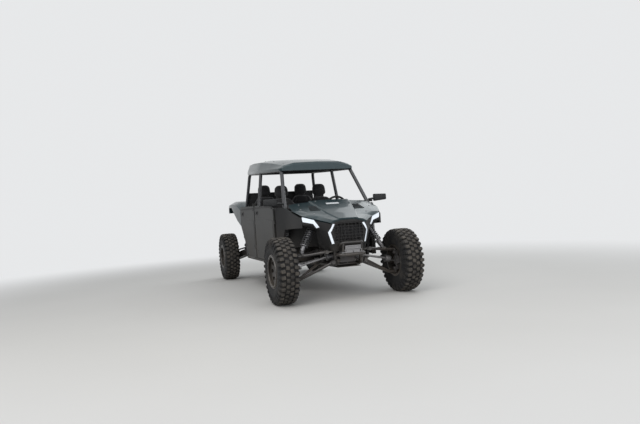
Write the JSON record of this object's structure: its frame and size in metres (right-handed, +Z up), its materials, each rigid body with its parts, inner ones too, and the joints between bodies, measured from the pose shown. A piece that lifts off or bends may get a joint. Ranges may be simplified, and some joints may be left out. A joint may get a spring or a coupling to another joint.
{
  "type": "side-by-side utility vehicle",
  "caption": "Open sport side-by-side with two seat rows, roll cage and roof, long-travel suspension, knobby tyres, short nose with chevron lamps and a small cargo bed",
  "frame": {"origin": "bottom centre of the bounding box, on the ground", "axes": "+X to the vehicle's left, the front faces -Y, +Z up"},
  "size_m": [1.88, 4.3326, 1.9619],
  "materials": {
    "body_paint": "gloss clear coat",
    "cage_steel": "satin powder coat",
    "frame_steel": "satin powder coat",
    "arm_steel": "satin powder coat",
    "skid": "matte",
    "tub_plastic": "matte grain",
    "dash_plastic": "matte grain",
    "panel_plastic": "satin grain",
    "door_plastic": "satin grain",
    "grille_plastic": "matte",
    "lamp_lens": "lit lens",
    "tail_lens": "gloss lens",
    "bare_metal": "machined",
    "radiator_alloy": "painted fins",
    "engine_casting": "cast",
    "exhaust_steel": "brushed",
    "seat_fabric": "woven",
    "grip_rubber": "matte",
    "spring_steel": "semi gloss",
    "tyre": "matte, dusty",
    "rim_alloy": "satin black"
  },
  "bodies": {
    "chassis": {"frame_floor": "frame_steel", "frame_front": "frame_steel", "frame_rear": "frame_steel", "cage_sides": "cage_steel", "cage_crossbars": "cage_steel", "skid_plate": "skid", "floor_tub": "tub_plastic", "dashboard": "dash_plastic", "hood": "body_paint", "roof_panel": "body_paint", "rear_fenders": "body_paint", "front_fenders": "panel_plastic", "front_fascia": "panel_plastic", "grille": "grille_plastic", "front_lamps": "lamp_lens", "front_bumper": "frame_steel", "winch": "bare_metal", "radiator": "radiator_alloy", "cargo_bed": "panel_plastic", "powertrain": "engine_casting", "exhaust": "exhaust_steel", "side_mirrors": "panel_plastic", "seat_front_left": "seat_fabric", "seat_front_right": "seat_fabric", "seat_rear_left": "seat_fabric", "seat_rear_right": "seat_fabric", "steering_column": "frame_steel", "front_arms": "arm_steel", "rear_arms": "arm_steel", "shocks": "spring_steel", "half_shafts": "bare_metal", "rear_bumper": "frame_steel", "tail_lamps": "tail_lens"},
    "wheel_front_left": {"tyre_front_left": "tyre", "rim_front_left": "rim_alloy"},
    "wheel_front_right": {"tyre_front_right": "tyre", "rim_front_right": "rim_alloy"},
    "wheel_rear_left": {"tyre_rear_left": "tyre", "rim_rear_left": "rim_alloy"},
    "wheel_rear_right": {"tyre_rear_right": "tyre", "rim_rear_right": "rim_alloy"},
    "knuckle_left": {"knuckle_left": "engine_casting"},
    "knuckle_right": {"knuckle_right": "engine_casting"},
    "steering_rack": {"rack_and_tie_rods": "bare_metal"},
    "steering_wheel": {"steering_wheel": "grip_rubber"},
    "door_front_left": {"door_front_left": "door_plastic"},
    "door_front_right": {"door_front_right": "door_plastic"},
    "door_rear_left": {"door_rear_left": "door_plastic"},
    "door_rear_right": {"door_rear_right": "door_plastic"}
  },
  "joints": [
    {"name": "steer_left", "type": "hinge", "parent": "chassis", "child": "knuckle_left", "pos_m": [0.72, -1.75866, 0.4065], "axis": [0, 0, 1], "range_deg": [-30, 30]},
    {"name": "steer_right", "type": "hinge", "parent": "chassis", "child": "knuckle_right", "pos_m": [-0.72, -1.75866, 0.4065], "axis": [0, 0, 1], "range_deg": [-30, 30]},
    {"name": "rack_travel", "type": "slide", "parent": "chassis", "child": "steering_rack", "axis": [-1, 0, 0], "range_m": [-0.056, 0.056]},
    {"name": "steering_wheel_turn", "type": "hinge", "parent": "chassis", "child": "steering_wheel", "pos_m": [0.3, -0.85866, 1.13], "axis": [0, 0.943, 0.3328], "range_deg": [-271, 271]},
    {"name": "wheel_front_left_spin", "type": "hinge", "parent": "knuckle_left", "child": "wheel_front_left", "pos_m": [0.813, -1.75866, 0.4065], "axis": [1, 0, 0], "continuous": true},
    {"name": "wheel_front_right_spin", "type": "hinge", "parent": "knuckle_right", "child": "wheel_front_right", "pos_m": [-0.813, -1.75866, 0.4065], "axis": [1, 0, 0], "continuous": true},
    {"name": "wheel_rear_left_spin", "type": "hinge", "parent": "chassis", "child": "wheel_rear_left", "pos_m": [0.813, 1.74634, 0.4065], "axis": [1, 0, 0], "continuous": true},
    {"name": "wheel_rear_right_spin", "type": "hinge", "parent": "chassis", "child": "wheel_rear_right", "pos_m": [-0.813, 1.74634, 0.4065], "axis": [1, 0, 0], "continuous": true},
    {"name": "door_front_left_swing", "type": "hinge", "parent": "chassis", "child": "door_front_left", "pos_m": [0.708, -1.20266, 0.8], "axis": [0, 0, -1], "range_deg": [0, 64]},
    {"name": "door_front_right_swing", "type": "hinge", "parent": "chassis", "child": "door_front_right", "pos_m": [-0.708, -1.20266, 0.8], "axis": [0, 0, 1], "range_deg": [0, 64]},
    {"name": "door_rear_left_swing", "type": "hinge", "parent": "chassis", "child": "door_rear_left", "pos_m": [0.708, -0.08266, 0.8], "axis": [0, 0, -1], "range_deg": [0, 64]},
    {"name": "door_rear_right_swing", "type": "hinge", "parent": "chassis", "child": "door_rear_right", "pos_m": [-0.708, -0.08266, 0.8], "axis": [0, 0, 1], "range_deg": [0, 64]}
  ],
  "couplings": [
    {"joint": "steer_right", "follows": "steer_left", "ratio": 1},
    {"joint": "rack_travel", "follows": "steer_left", "m_per_rad": 0.105},
    {"joint": "steering_wheel_turn", "follows": "steer_left", "ratio": 9}
  ]
}
